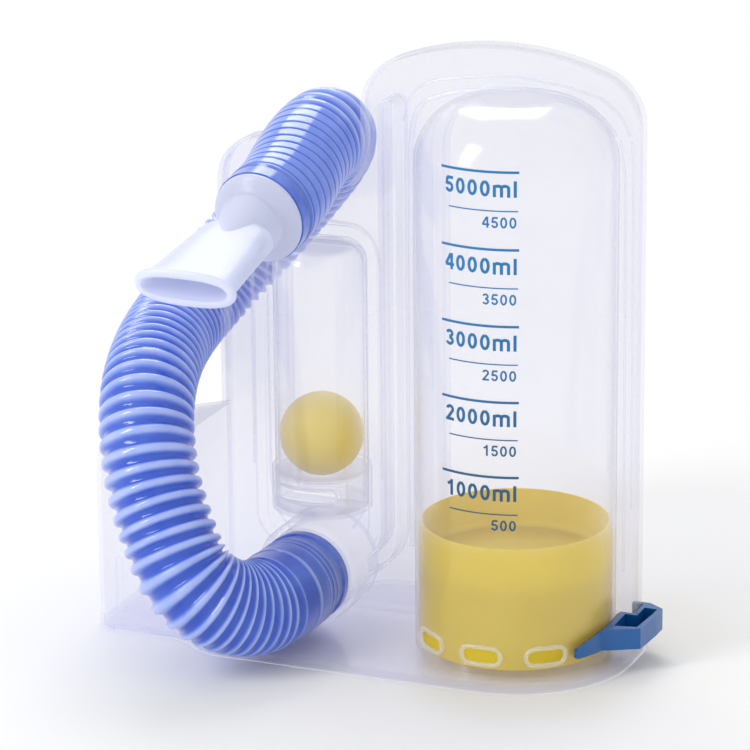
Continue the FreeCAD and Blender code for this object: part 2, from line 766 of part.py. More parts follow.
# The mouthpiece: a spigot in the upper cuff, a collar, and a tube that flattens to an oval mouth.
mouthpiece = end_body("mouthpiece", s.end_cuff_length + s.seat_gap * 2)
collar_y = -s.collar_thickness
profile = new_sketch(mouthpiece, "collar_outline", "XY_Plane")
plug = s.end_cuff_length - s.seat_gap
bore = s.spigot_radius - s.mouthpiece_wall
outline(profile, (bore, plug), [
    (bore, collar_y), (s.collar_radius - ring, collar_y), (s.collar_radius, collar_y + ring),
    (s.collar_radius, zero), (s.spigot_radius, zero), (s.spigot_radius, plug), (bore, plug)])
revolve(mouthpiece, "collar", profile)
flat = s.mouthpiece_length * s.mouthpiece_flat_start
for name, inset in (("tube", zero), ("tube_hollow", s.mouthpiece_wall)):
    root_size = (s.mouthpiece_root_radius - inset) * 2
    waist = new_sketch(mouthpiece, name + "_root", "XZ_Plane", z=s.collar_thickness - s.seat_gap)
    oval(waist, zero, zero, root_size + s.cut_margin, root_size)
    waist_mid = new_sketch(mouthpiece, name + "_middle", "XZ_Plane", z=flat)
    oval(waist_mid, zero, zero, s.mouth_width * s.mouthpiece_flat_taper - inset * 2, s.mouth_height - inset * 2)
    lips = new_sketch(mouthpiece, name + "_mouth", "XZ_Plane",
                      z=s.mouthpiece_length if name == "tube" else s.mouthpiece_length + s.seat_gap)
    oval(lips, zero, zero, s.mouth_width - inset * 2, s.mouth_height - inset * 2)
    if name == "tube_hollow":
        rim = new_sketch(mouthpiece, "lip_outline", "XZ_Plane", z=s.mouthpiece_length - s.lip_length)
        oval(rim, zero, zero, s.mouth_width + s.lip_rise * 2, s.mouth_height + s.lip_rise * 2)
        pad(mouthpiece, "lip", rim, s.lip_length)
    kind = "AdditiveLoft" if name == "tube" else "SubtractiveLoft"
    loft = feature(mouthpiece, kind, name, waist)
    loft.Sections = [waist_mid, lips]
    loft.Ruled = False
profile = new_sketch(mouthpiece, "bore_outline", "XZ_Plane", z=-plug - s.cut_margin)
pocket(mouthpiece, "bore", circle(profile, zero, zero, bore), plug + s.collar_thickness + s.cut_margin * 2, True)

# The pointer clips round the housing's right edge, and its blade reaches round the chamber.
target_pointer = new_body("target_pointer", z=s.pointer_bottom)
near = s.chamber_radius + s.running_gap
far = near + s.pointer_blade
face = s.seam_y - s.half_depth - s.running_gap
rear = s.seam_y + s.half_depth + s.running_gap
edge = s.tall_right + s.running_gap
tip_sine, tip_cosine = sine(s.pointer_start), cosine(s.pointer_start)
plan = new_sketch(target_pointer, "clip_outline", "XY_Plane")
outline(plan, (near * tip_sine, -(near * tip_cosine)), [
    (far * tip_sine, -(far * tip_cosine)),
    (far * sine(s.pointer_flare), -(far * cosine(s.pointer_flare)), far, 1),
    (s.pointer_corner_x, s.pointer_corner_y),
    (s.pointer_reach, face + s.wall),
    (s.pointer_reach, rear - s.pointer_blade),
    (edge + s.pointer_blade, rear + s.pointer_blade),
    (edge - s.pointer_blade * 2, rear + s.pointer_blade),
    (edge - s.pointer_blade * 2, rear),
    (edge, rear),
    (edge, face),
    (root(near * near - face * face), face),
    (near * tip_sine, -(near * tip_cosine), near, -1)])
pad(target_pointer, "clip", plan, s.pointer_height)
sketch = new_sketch(target_pointer, "blade_cut_outline", "XZ_Plane")
blade_start = near * tip_sine - s.cut_margin
above = s.pointer_height + s.cut_margin
outline(sketch, (blade_start, s.pointer_tip_height), [
    (far, above), (blade_start, above), (blade_start, s.pointer_tip_height)])
pocket(target_pointer, "blade_cut", sketch, s.chamber_radius * 3, both=True)
rim = s.pointer_blade * 0.8
sketch = new_sketch(target_pointer, "recess_outline", "XY_Plane", z=above)
outline(sketch, (far + rim / 2, face - rim), [
    (far + rim / 2, s.pointer_corner_y - rim / 2),
    (s.pointer_corner_x - rim, s.pointer_corner_y + rim / 2),
    (s.pointer_reach - rim, face + rim),
    (s.pointer_reach - rim, rear - rim * 2),
    (edge + rim, rear - rim * 2),
    (edge + rim, face - rim),
    (far + rim / 2, face - rim)])
pocket(target_pointer, "recess", sketch, above - s.pointer_floor)

doc.recompute()

faults = [thing.Name for thing in doc.Objects if "Invalid" in thing.State or "Error" in thing.State]
for piece in pieces:
    if piece.Shape.isNull() or not piece.Shape.isValid():
        faults.append(piece.Label)
if faults:
    raise SystemExit("failed: " + ", ".join(faults))

for piece in pieces:
    box = piece.Shape.BoundBox
    print("%-16s solids %d volume %9.0f  x %.1f %.1f  y %.1f %.1f  z %.1f %.1f" % (
        piece.Label, len(piece.Shape.Solids), piece.Shape.Volume,
        box.XMin, box.XMax, box.YMin, box.YMax, box.ZMin, box.ZMax))
    piece.Shape.exportStep("parts/%s.step" % piece.Label)
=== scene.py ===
import math

import bpy
import numpy as np
from mathutils import Matrix, Vector


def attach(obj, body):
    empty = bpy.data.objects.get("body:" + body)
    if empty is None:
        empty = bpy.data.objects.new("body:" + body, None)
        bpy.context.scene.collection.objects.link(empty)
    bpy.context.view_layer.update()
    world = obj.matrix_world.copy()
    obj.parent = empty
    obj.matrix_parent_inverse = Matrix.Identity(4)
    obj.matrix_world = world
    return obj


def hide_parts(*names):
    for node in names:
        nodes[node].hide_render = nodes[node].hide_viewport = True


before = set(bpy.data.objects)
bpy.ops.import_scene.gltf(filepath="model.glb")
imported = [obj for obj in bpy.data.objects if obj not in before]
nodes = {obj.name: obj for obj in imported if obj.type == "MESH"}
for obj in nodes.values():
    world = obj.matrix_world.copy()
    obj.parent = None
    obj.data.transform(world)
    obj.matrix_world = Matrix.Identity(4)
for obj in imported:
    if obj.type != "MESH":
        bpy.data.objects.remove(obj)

print("stage: frame loaded")
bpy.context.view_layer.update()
scene = bpy.context.scene
scene.view_settings.view_transform = "Standard"
scene.cycles.transparent_max_bounces = 32  # a look through the housing crosses many walls
mm = 0.001  # the values below are in millimetres where nothing else is said
chamberX = 55.0  # mm, the chamber's axis in the frame; X values in mm below start from it

# Camera.
camera = {
    "place": (501.5, -1355.9, 556.7),  # mm from the chamber's axis, as the aim
    "aim": (-57.58, 0.0, 105.07),
    "roll": -0.515,  # degrees
    "lens": 192.0,
    "sensor": 36.0,
}


def inFrame(points):  # millimetres from the chamber's axis to metres in the frame
    return (np.asarray(points, float) + [chamberX, 0.0, 0.0]) * mm


def makeCamera(values):
    place, aim = Vector(inFrame(values["place"])), Vector(inFrame(values["aim"]))
    ahead = (aim - place).normalized()
    side = ahead.cross(Vector((0, 0, 1))).normalized()
    above = side.cross(ahead)
    c, s = math.cos(math.radians(values["roll"])), math.sin(math.radians(values["roll"]))
    right, up = side * c + above * s, above * c - side * s
    turn = Matrix((right, up, -ahead)).transposed().to_4x4()
    data = bpy.data.cameras.new("camera")
    data.lens, data.sensor_width = values["lens"], values["sensor"]
    thing = bpy.data.objects.new("camera", data)
    scene.collection.objects.link(thing)
    thing.matrix_world = Matrix.Translation(place) @ turn
    scene.camera = thing


makeCamera(camera)


# Small tools.
def fromHex(code):  # an sRGB hex colour as linear light
    s = np.array([int(code[i:i + 2], 16) for i in (1, 3, 5)]) / 255
    linear = np.where(s <= 0.04045, s / 12.92, ((s + 0.055) / 1.055) ** 2.4)
    return (*linear, 1.0)


def newMaterial(name):
    material = bpy.data.materials.new(name)
    material.use_nodes = True
    material.node_tree.nodes.clear()
    return material, material.node_tree


# Adds a node, sets its properties, sets or links its inputs and returns it.
def addNode(tree, kind, settings=None, inputs=None):
    node = tree.nodes.new(kind)
    for key, value in (settings or {}).items():
        setattr(node, key, value)
    for key, value in (inputs or {}).items():
        if isinstance(value, bpy.types.NodeSocket):
            tree.links.new(value, node.inputs[key])
        else:
            node.inputs[key].default_value = value
    return node


def setRamp(node, stops):
    elements = node.color_ramp.elements
    while len(elements) < len(stops):
        elements.new(0.5)
    for element, (place, colour) in zip(elements, stops):
        element.position = place
        element.color = fromHex(colour)


def finishMaterial(material, shader):
    addNode(material.node_tree, "ShaderNodeOutputMaterial", None, {"Surface": shader})
    return material


def mixColours(tree, factor, low, high):
    return addNode(tree, "ShaderNodeMix", {"data_type": "RGBA"}, {
        "Factor": factor, "A": low, "B": high}).outputs["Result"]


def mixShaders(tree, factor, low, high):
    return addNode(tree, "ShaderNodeMixShader", None, {
        0: factor, 1: low, 2: high}).outputs["Shader"]


def compute(tree, operation, first, second):
    return addNode(tree, "ShaderNodeMath", {"operation": operation}, {
        0: first, 1: second}).outputs[0]


def remap(tree, value, source=(0.0, 1.0), target=(0.0, 1.0), kind="LINEAR"):
    return addNode(tree, "ShaderNodeMapRange", {"interpolation_type": kind}, {
        "Value": value, "From Min": source[0], "From Max": source[1],
        "To Min": target[0], "To Max": target[1]}).outputs["Result"]


def facingAway(tree):  # 0 head on, 1 along the surface
    return addNode(tree, "ShaderNodeLayerWeight", None, {"Blend": 0.5}).outputs["Facing"]


def ownPlace(tree):
    return addNode(tree, "ShaderNodeTexCoord").outputs["Object"]


# Noise fixed to the piece. A grain is (scale, detail, bump strength, bump height in metres).
def addNoise(tree, grain):
    return addNode(tree, "ShaderNodeTexNoise", None, {
        "Vector": ownPlace(tree), "Scale": grain[0], "Detail": grain[1]}).outputs["Fac"]


def addBump(tree, noise, grain):
    return addNode(tree, "ShaderNodeBump", None, {
        "Height": noise, "Strength": grain[2], "Distance": grain[3]}).outputs["Normal"]


def addSkin(tree, colour, normal, surface):  # surface: the shader's own constants
    return addNode(tree, "ShaderNodeBsdfPrincipled", None, {
        "Base Color": colour, **surface, "Normal": normal}).outputs["BSDF"]


# A skin, and behind it the share of light that soaks through the wall.
def addPlastic(tree, colour, normal, surface, soaks, within=None):
    skin = addSkin(tree, colour, normal, surface)
    glow = addNode(tree, "ShaderNodeBsdfTranslucent", None, {"Color": within or colour})
    return mixShaders(tree, soaks, skin, glow.outputs["BSDF"])


def addThrough(tree, colour):
    return addNode(tree, "ShaderNodeBsdfTransparent", None, {"Color": colour}).outputs["BSDF"]


def newPiece(name, verts, faces, body, material, smooth=True, slot=None):
    mesh = bpy.data.meshes.new(name)
    mesh.from_pydata(np.asarray(verts).tolist(), [], [tuple(face) for face in faces])
    mesh.polygons.foreach_set("use_smooth", np.full(len(mesh.polygons), smooth))
    mesh.materials.append(material)
    mesh.update()
    thing = bpy.data.objects.new(name, mesh)
    scene.collection.objects.link(thing)
    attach(thing, body)
    return thing


# Quads of m rings of n points; when the rings close, the last is joined to the first.
def gridFaces(m, n, closeM=False):
    i = np.arange(m if closeM else m - 1)[:, None]
    j = np.arange(n)[None, :]
    a, b = i * n + j, i * n + (j + 1) % n
    c, d = ((i + 1) % m) * n + (j + 1) % n, ((i + 1) % m) * n + j
    return np.stack([a, b, c, d], -1).reshape(-1, 4).tolist()


# A tube of rings with each end shut by a point in its middle; faces point outwards
# when the rings run along the normal of their own turn.
def tubeFaces(m, n):
    first, last = m * n, m * n + 1
    j = np.arange(n)
    head = np.stack([np.full(n, first), (j + 1) % n, j], -1)
    tail = np.stack([np.full(n, last), (m - 1) * n + j, (m - 1) * n + (j + 1) % n], -1)
    return gridFaces(m, n) + head.tolist() + tail.tolist()


def tubeVerts(rings):
    m, n, _ = rings.shape
    return np.concatenate([rings.reshape(-1, 3), rings[:1].mean(1), rings[-1:].mean(1)])


def joined(parts):  # several closed parts, each (points, faces), as one mesh
    verts, faces, count = [], [], 0
    for points, sides in parts:
        verts.append(points.reshape(-1, 3))
        faces += [[count + i for i in side] for side in sides]
        count += len(verts[-1])
    return np.concatenate(verts), faces


def fullTurn(steps):
    return np.linspace(0, 2 * np.pi, steps, endpoint=False)


def smoothStep(x):
    return np.clip(x, 0, 1) ** 2 * (3 - 2 * np.clip(x, 0, 1))


def evenly(path, spacing):  # the same line with points an even distance apart
    run = np.r_[0, np.cumsum(np.linalg.norm(np.diff(path, axis=0), axis=1))]
    at = np.linspace(0, run[-1], int(run[-1] / spacing) + 1)
    return at, np.stack([np.interp(at, run, path[:, k]) for k in range(3)], -1)


# A path averaged with a bell of weights, exp(-(i / spread)^2 / 2), i from -reach to reach.
def softened(path, reach, spread):
    bell = np.exp(-0.5 * (np.arange(-reach, reach + 1) / spread) ** 2)
    padded = np.pad(path, ((reach, reach), (0, 0)), "reflect", reflect_type="odd")
    return np.stack([np.convolve(padded[:, k], bell / bell.sum(), "valid") for k in range(3)], -1)


# Frames carried along a path with the least turn between neighbours.
def carriedFrames(path):
    tangent = np.gradient(path, axis=0)
    tangent /= np.linalg.norm(tangent, axis=1)[:, None]
    side = np.zeros_like(path)
    side[0] = np.cross(tangent[0], [0.0, 0.0, 1.0])
    side[0] /= np.linalg.norm(side[0])
    for i in range(1, len(path)):
        flat = side[i - 1] - tangent[i] * (side[i - 1] @ tangent[i])
        side[i] = flat / np.linalg.norm(flat)
    return side, np.cross(tangent, side)


# Hose.
hose = {
    "radius": 18.4,
    # Along the hose, in millimetres from the port: where, pitch of the ribs, their depth,
    # how far they are pulled open and how wide a crest is.
    "ribs": ((0, 3.0, 0.3, 0.0, 0.2), (7, 3.0, 0.3, 0.0, 0.2), (9, 9.0, 0.12, 0.0, 0.1),
             (25, 9.0, 0.12, 0.0, 0.1), (27, 2.9, 0.6, 0.7, 0.3), (48, 3.1, 1.2, 1.0, 0.34),
             (64, 5.8, 2.0, 1.0, 0.5), (105, 6.6, 2.3, 1.0, 0.55), (130, 5.6, 2.1, 1.0, 0.52),
             (160, 4.5, 1.6, 0.9, 0.48), (235, 4.4, 1.6, 0.9, 0.48), (300, 5.3, 2.1, 1.0, 0.56)),
    "endRibs": ((52, 5.8, 2.3, 1.0, 0.56), (46, 4.7, 0.35, 0.0, 0.5),
                (0, 4.7, 0.35, 0.0, 0.5)),  # the same, from the mouthpiece
    "thickRing": (15.0, 0.6, 3.0),  # where one ring at the port is thicker, its width, how much
    "grooveWidth": 0.16,
    "spacing": 0.4,  # between the mesh's rings
    "steps": 72,  # round each ring
    "soften": (6, 3.0),  # rings on each side and spread of the bell
    # Tones run from 0, the deepest blue, to 1, and paint light and shade onto the hose. Where the
    # ribs
    # are flat: base and rise, painted shade in the grooves and a painted highlight on the raised
    # rings.
    # Where they stand out: valley and crest, painted shade in the valleys and a painted highlight
    # on the crests. Painted light soaking through the hose further along: how much paler, from
    # where, over what.
    "ringTone": (0.22, 0.5),
    "grooveTone": (0.1, 0.45),
    "ribTone": (0.08, 0.86),
    "paintedLiftTone": (0.12, 80.0, 50.0),
    "endTone": 0.2,
    "tones": ((0.0, "#2c56c8"), (0.3, "#496fda"), (0.62, "#7d9aec"), (1.0, "#b7c8f8")),
    "paintedSheen": "#d3dcfb",  # towards the outline, a painted sheen
    "paintedSheenFrom": 0.45,
    "paintedSheenMost": 0.6,
    "streaks": (90.0, 3.0, 0.12, 0.0012),
    "mottle": 0.09,
    "skin": {"Roughness": 0.16, "IOR": 1.5, "Specular IOR Level": 0.8},
    "soaks": 0.22,
    "cuffTones": (0.25, 0.5),
}
# The mouthpiece's way out of the hose: it points down by the droop and left by the swing.
droop, swing = math.radians(12.0), math.radians(3.6)
mouthWay = np.array([-math.sin(swing) * math.cos(droop), -math.cos(swing) * math.cos(droop),
                     -math.sin(droop)])
# The route in metres, X from the chamber's axis, through the same points as the solid hose.
hoseEnd = np.array([-0.0843, -0.0380, 0.1781])
hosePoints = np.array([
    (-0.0840, -0.0182, 0.0230), (-0.0840, -0.0270, 0.0230), (-0.0848, -0.0380, 0.0230),
    (-0.0869, -0.0500, 0.0231), (-0.0927, -0.0599, 0.0257), (-0.1002, -0.0664, 0.0318),
    (-0.1084, -0.0684, 0.0407), (-0.1164, -0.0644, 0.0546), (-0.1248, -0.0586, 0.0698),
    (-0.1310, -0.0508, 0.0858), (-0.1366, -0.0380, 0.0992), (-0.1430, -0.0160, 0.1070),
    (-0.1475, 0.0080, 0.1115), (-0.1470, 0.0260, 0.1170), (-0.1405, 0.0395, 0.1270),
    (-0.1290, 0.0460, 0.1405), (-0.1150, 0.0480, 0.1570), (-0.1010, 0.0460, 0.1735),
    (-0.0910, 0.0385, 0.1860), (-0.0872, 0.0255, 0.1926), (-0.0864, 0.0095, 0.1914),
    (-0.0856, -0.0070, 0.1870), tuple(hoseEnd - 0.013 * mouthWay), tuple(hoseEnd)])
hosePoints[:, 0] += chamberX * mm


# The route's smooth line, read from a curve that has no bevel.
def smoothLine(points):
    curve = bpy.data.curves.new("hoseLine", "CURVE")
    curve.dimensions = "3D"
    curve.resolution_u = 24
    spline = curve.splines.new("NURBS")
    spline.points.add(len(points) - 1)
    spline.points.foreach_set("co", np.c_[points, np.ones(len(points))].ravel())
    spline.order_u = 3
    spline.use_endpoint_u = True
    line = bpy.data.objects.new("hoseLine", curve)
    mesh = bpy.data.meshes.new_from_object(line)
    found = np.empty(len(mesh.vertices) * 3)
    mesh.vertices.foreach_get("co", found)
    bpy.data.objects.remove(line)
    return found.reshape(-1, 3)


# Blue corrugated tube: ring radius = outer radius - depth * (1 - crest). The crest is a rounded
# pulse of the phase, the phase is the length divided by the local pitch, and a stretch that is
# pulled smooth has thin raised rings at the port and thin grooves at the mouthpiece.
def makeHose(v):
    at, path = evenly(smoothLine(hosePoints), v["spacing"] * mm)
    path = softened(path, *v["soften"])
    side, up = carriedFrames(path)
    s = at / mm
    knots = np.array(list(v["ribs"]) + [(s[-1] - row[0], *row[1:]) for row in v["endRibs"]])
    pitch, depth, opened, wide = [np.interp(s, knots[:, 0], knots[:, k]) for k in (1, 2, 3, 4)]
    phase = np.cumsum(np.gradient(s) / pitch)
    wave = np.abs((phase % 1.0) - 0.5) * 2  # 0 on a crest's middle, 1 in a valley's
    rounded = np.exp(-(wave / wide) ** 4)
    thickAt, thickWide, thickMore = v["thickRing"]
    ring = np.exp(-(wave / wide) ** 2) + thickMore * np.exp(-((s - thickAt) / thickWide) ** 2)
    groove = 1 - np.exp(-((1 - wave) / v["grooveWidth"]) ** 2)
    nearPort = s < s[-1] / 2
    crest = rounded * opened + np.where(nearPort, ring, groove) * (1 - opened)
    radius = (v["radius"] - depth * (1 - crest)) * mm
    # The tone is painted light: painted shade in the grooves and valleys, a painted highlight on
    # the raised rings and crests, and a paler painted lift further along the hose.
    ringBase, ringRise = v["ringTone"]
    grooveBase, grooveRise = v["grooveTone"]
    smoothTone = np.where(nearPort, ringBase + ringRise * np.minimum(ring, 1.0),
                          grooveBase + grooveRise * groove)
    paintedLiftMost, paintedLiftFrom, paintedLiftOver = v["paintedLiftTone"]
    paintedLift = paintedLiftMost * np.clip((s - paintedLiftFrom) / paintedLiftOver, 0, 1)
    valley, top = v["ribTone"]
    tone = (valley + paintedLift + (top - paintedLift) * rounded ** 0.8) * opened + smoothTone * (1 - opened)
    a = fullTurn(v["steps"])
    circle = np.cos(a)[None, :, None] * side[:, None] + np.sin(a)[None, :, None] * up[:, None]
    rings = path[:, None] + radius[:, None, None] * circle
    thing = newPiece("corrugated_hose", tubeVerts(rings), tubeFaces(len(path), len(a)), "housing",
                     bluePolyethylene, slot="blue_hose")
    values = np.concatenate([np.repeat(tone, len(a)), [v["endTone"]] * 2])
    thing.data.attributes.new("tone", "FLOAT", "POINT").data.foreach_set("value", values)
    return thing, path, at[-1]


# Soft polyethylene, blow moulded: light soaks a little through its wall, with a wet gloss and faint
# flow streaks. Its colour holds painted light: deep blue painted shade in the valleys, a pale
# painted highlight on the crests and a pale painted sheen along the outline.
def makeBluePolyethylene(v, name, tones=None):
    material, tree = newMaterial(name)
    flow = addNoise(tree, v["streaks"])
    if tones is None:
        tone = addNode(tree, "ShaderNodeAttribute", {"attribute_name": "tone"}).outputs["Fac"]
    else:
        tone = remap(tree, flow, target=tones)
    shift = remap(tree, flow, (0.3, 0.7), (-v["mottle"], v["mottle"]))
    ramp = addNode(tree, "ShaderNodeValToRGB", None, {"Fac": compute(tree, "ADD", tone, shift)})
    setRamp(ramp, v["tones"])
    # Painted sheen: the colour turns pale lilac towards the outline.
    edge = remap(tree, facingAway(tree), (v["paintedSheenFrom"], 1.0), (0.0, v["paintedSheenMost"]), "SMOOTHSTEP")
    colour = mixColours(tree, edge, ramp.outputs["Color"], fromHex(v["paintedSheen"]))
    normal = addBump(tree, flow, v["streaks"])
    return finishMaterial(material, addPlastic(tree, colour, normal, v["skin"], v["soaks"]))


bluePolyethylene = makeBluePolyethylene(hose, "bluePolyethyleneBlowMoulded")
hosePiece, hosePath, hoseLength = makeHose(hose)
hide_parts("hose")
print("stage: hose, %.0f mm long" % (hoseLength / mm))

# Clear housing.
clear = {
    "through": "#fbfbfd",  # what a wall's skin lets through head on
    "along": "#999eb4",  # and seen along its surface, darker grey: painted edge shade standing in for refraction
    "haze": "#fdfdff",
    "hazeHeadOn": 0.045,
    "hazeAlong": 0.55,
    "hazeSkin": {"Roughness": 0.45, "IOR": 1.49},
    "soaks": 0.6,
    "powers": (3.0, 5.0, 8.0),  # of the facing value: for the haze, the gloss and the tint
    "shine": (0.035, 0.42),  # share of gloss head on and along the surface
    "shineRough": 0.12,
    "waves": (34.0, 2.0, 0.2, 0.0008),
    "inDiffuse": "#fdfdff",  # what it lets through for soft light and for shadows
    "inShadow": "#f3f4fb",
    "rimHaze": 0.3,  # more haze head on, in the thick rims and in the moulded lines
    "lineHaze": 0.08,
    # The moulded lines' tint seen along them, darker still: a painted edge shade.
    "lineAlong": "#71769a",
}


# Clear polystyrene, injection moulded: a thin wall that hardly bends what is behind it,
# milky where it is looked along, glossy, and a little wavy from shrinkage. Where it is looked
# along, its see-through tint turns grey: a painted edge shade in place of refraction.
def makeClearPolystyrene(v, name, more=0.0):
    material, tree = newMaterial(name)
    normal = addBump(tree, addNoise(tree, v["waves"]), v["waves"])
    along = facingAway(tree)
    hazy, steep, outline = [compute(tree, "POWER", along, power) for power in v["powers"]]
    # Painted edge shade: the see-through tint darkens to grey along the wall.
    tint = mixColours(tree, outline, fromHex(v["through"]), fromHex(v["along"]))
    front = addNode(tree, "ShaderNodeBsdfPrincipled", None, {
        "Base Color": fromHex(v["haze"]), **v["hazeSkin"]})
    behind = addNode(tree, "ShaderNodeBsdfTranslucent", None, {"Color": fromHex(v["haze"])})
    milk = mixShaders(tree, v["soaks"], front.outputs["BSDF"], behind.outputs["BSDF"])
    haze = remap(tree, hazy, target=(v["hazeHeadOn"] + more, v["hazeAlong"]))
    wall = mixShaders(tree, haze, addThrough(tree, tint), milk)
    gloss = addNode(tree, "ShaderNodeBsdfGlossy", None, {
        "Color": (1.0, 1.0, 1.0, 1.0), "Roughness": v["shineRough"], "Normal": normal})
    shiny = mixShaders(tree, remap(tree, steep, target=v["shine"]), wall, gloss.outputs["BSDF"])
    ray = addNode(tree, "ShaderNodeLightPath").outputs
    dim = mixColours(tree, ray["Is Shadow Ray"], fromHex(v["inDiffuse"]), fromHex(v["inShadow"]))
    soft = compute(tree, "MAXIMUM", ray["Is Shadow Ray"], ray["Is Diffuse Ray"])
    return finishMaterial(material, mixShaders(tree, soft, shiny, addThrough(tree, dim)))


clearPolystyrene = makeClearPolystyrene(clear, "clearPolystyreneMoulded")
milkyRim = makeClearPolystyrene(clear, "clearPolystyreneThickRim", clear["rimHaze"])
mouldedLine = makeClearPolystyrene({**clear, "along": clear["lineAlong"]},
                                   "clearPolystyreneMouldedLine", clear["lineHaze"])


def dress(name, material):
    thing = nodes[name]
    thing.data.materials.clear()
    thing.data.materials.append(material)


for name in ("front_shell", "rear_shell", "base_plate", "ball_seat", "port_spigot"):
    dress(name, clearPolystyrene)

beads = {
    "chamber": (0.0, 0.0, 38.5),  # axis and radius
    "slotAngles": (-38.0, 0.0, 38.0),
    "slotHeight": 11.6,
    "slotHalf": (7.9, 3.4),  # half width and half height of the outline
    "slotBead": 0.85,
    "slotSink": 0.15,
    "plenum": (-84.0, 9.0, 19.6),
    "inletHeight": 55.9,
    "inletHalf": (13.6, 2.9),
    "inletBead": 0.6,
    "inletSink": 0.1,
    "flatness": 6,  # how quickly the outline's long sides turn into its ends
    "steps": 72,
    "roundSteps": 10,
    "lineSpacing": 1.0,
    "lineSoften": (4, 2.0),
    # Moulded lines of the face plate: radius and depth, then (x, z) along each. The two on the
    # pointer's way lie inside the wall, so that it slides past them.
    "lines": (
        (1.0, 9.7, ((-46.5, 34), (-46.3, 150), (-46.0, 196), (-44.6, 206), (-40.5, 212.2),
                    (-30, 216.2), (-15.2, 218.6), (-6, 219.3), (4, 218.8), (13, 217.2),
                    (27.1, 213.4), (33, 208.6), (35.6, 204.6))),
        (0.5, 10.6, ((37.2, 203), (39.2, 190), (39.6, 150), (40.0, 34))),
        (0.55, 9.7, ((-48.9, 204), (-46.4, 213.5), (-41.5, 218.3), (-34, 221), (-15.2, 223.6),
                     (-2.1, 224.2), (15.7, 222.2), (30.6, 218.4), (38.1, 212), (41.2, 205.2))),
        (0.45, 10.6, ((41.8, 203), (42.4, 190), (42.6, 150), (42.7, 60))),
        (0.5, 9.7, ((-98.5, 35), (-104.0, 42), (-106.2, 54), (-106.4, 100), (-106.4, 142),
                    (-105.4, 149), (-100, 154.1), (-92, 154.6), (-78, 154.6), (-71.5, 154.1),
                    (-66.0, 149), (-65.1, 142), (-65.1, 100), (-65.1, 56), (-66.4, 46),
                    (-71.5, 38))),
        (0.5, 9.7, ((-113.2, 60), (-113.2, 146), (-111.0, 155.5), (-104, 161.2), (-94, 161.8),
                    (-78, 161.8), (-68, 161.2), (-61.2, 155.5), (-59.0, 146), (-59.0, 60))),
    ),
}


# Round section along a path: centre + r cos b * outward + r sin b * across, where across is
# square to the path and to outward.
def roundSection(path, tangent, outward, r):
    across = np.cross(tangent / np.linalg.norm(tangent, axis=1)[:, None], outward)
    b = fullTurn(beads["roundSteps"])
    return path[:, None] + r * (np.cos(b)[None, :, None] * outward[:, None]
                                + np.sin(b)[None, :, None] * across[:, None])


# Rim round an opening in a round wall: a stadium outline, across = end radius * cos a + flat
# part, wrapped round the wall by angle = across / radius.
def openingRim(v, wall, middle, height, half, bead, sink):
    x, y, r = wall
    halfWidth, halfHeight = half
    a = fullTurn(v["steps"])
    straight = np.sign(np.cos(a)) * np.minimum(1, v["flatness"] * np.abs(np.cos(a)))
    across = halfHeight * np.cos(a) + (halfWidth - halfHeight) * straight
    turn = math.radians(middle) + across / r
    outward = np.stack([np.sin(turn), -np.cos(turn), 0 * turn], -1)
    centre = np.stack([x + 0 * a, y + 0 * a, height + halfHeight * np.sin(a)], -1)
    path = inFrame((r - sink) * outward + centre)
    rings = roundSection(path, np.roll(path, -1, 0) - np.roll(path, 1, 0), outward, bead * mm)
    return rings, gridFaces(*rings.shape[:2], closeM=True)


def makeRims(v):
    slots = [openingRim(v, v["chamber"], angle, v["slotHeight"], v["slotHalf"], v["slotBead"],
                        v["slotSink"]) for angle in v["slotAngles"]]
    inlet = openingRim(v, v["plenum"], 0.0, v["inletHeight"], v["inletHalf"], v["inletBead"],
                       v["inletSink"])
    newPiece("slot_rims", *joined(slots), "housing", milkyRim, slot="clear_shell")
    newPiece("inlet_rim", *joined([inlet]), "housing", milkyRim, slot="clear_shell")


def makeFaceLines(v):
    parts = []
    for r, depth, corners in v["lines"]:
        _, path = evenly(np.array([(x, depth, z) for x, z in corners], float), v["lineSpacing"])
        path = softened(path, *v["lineSoften"])
        outward = np.array([0.0, -1.0, 0.0]) + 0 * path
        rings = inFrame(roundSection(path, np.gradient(path, axis=0), outward, r))
        parts.append((tubeVerts(rings), tubeFaces(*rings.shape[:2])))
    newPiece("face_lines", *joined(parts), "housing", mouldedLine, slot="clear_shell")


makeRims(beads)
makeFaceLines(beads)
print("stage: housing")

# Yellow piston and ball.
piston = {
    "deep": "#e6d233",
    "light": "#f7e84a",
    "clouds": (22.0, 3.0, 0.15, 0.0008),
    "skin": {"Roughness": 0.38, "IOR": 1.49},
    "soaks": 0.55,
}
ball = {
    "middle": "#f2dd6a",
    # Towards the outline the colour pales: a painted sheen.
    "edge": "#fbf4c6",
    "edgePower": 1.6,
    "grain": (900.0, 2.0, 0.1, 0.0002),
    "skin": {"Roughness": 0.5, "IOR": 1.49},
    "soaks": 0.3,
}


# Tinted polypropylene, injection moulded: light soaks through its wall, with a satin skin.
def makeYellowPolypropylene(v):
    material, tree = newMaterial("yellowPolypropyleneMoulded")
    clouds = addNoise(tree, v["clouds"])
    colour = mixColours(tree, clouds, fromHex(v["deep"]), fromHex(v["light"]))
    normal = addBump(tree, clouds, v["clouds"])
    return finishMaterial(material, addPlastic(tree, colour, normal, v["skin"], v["soaks"]))


# Hollow polystyrene ball, satin: it glows inside, and a painted sheen pales it towards its outline.
def makeYellowBall(v):
    material, tree = newMaterial("yellowPolystyreneSatin")
    normal = addBump(tree, addNoise(tree, v["grain"]), v["grain"])
    edge = compute(tree, "POWER", facingAway(tree), v["edgePower"])
    colour = mixColours(tree, edge, fromHex(v["middle"]), fromHex(v["edge"]))
    return finishMaterial(material, addPlastic(tree, colour, normal, v["skin"], v["soaks"]))


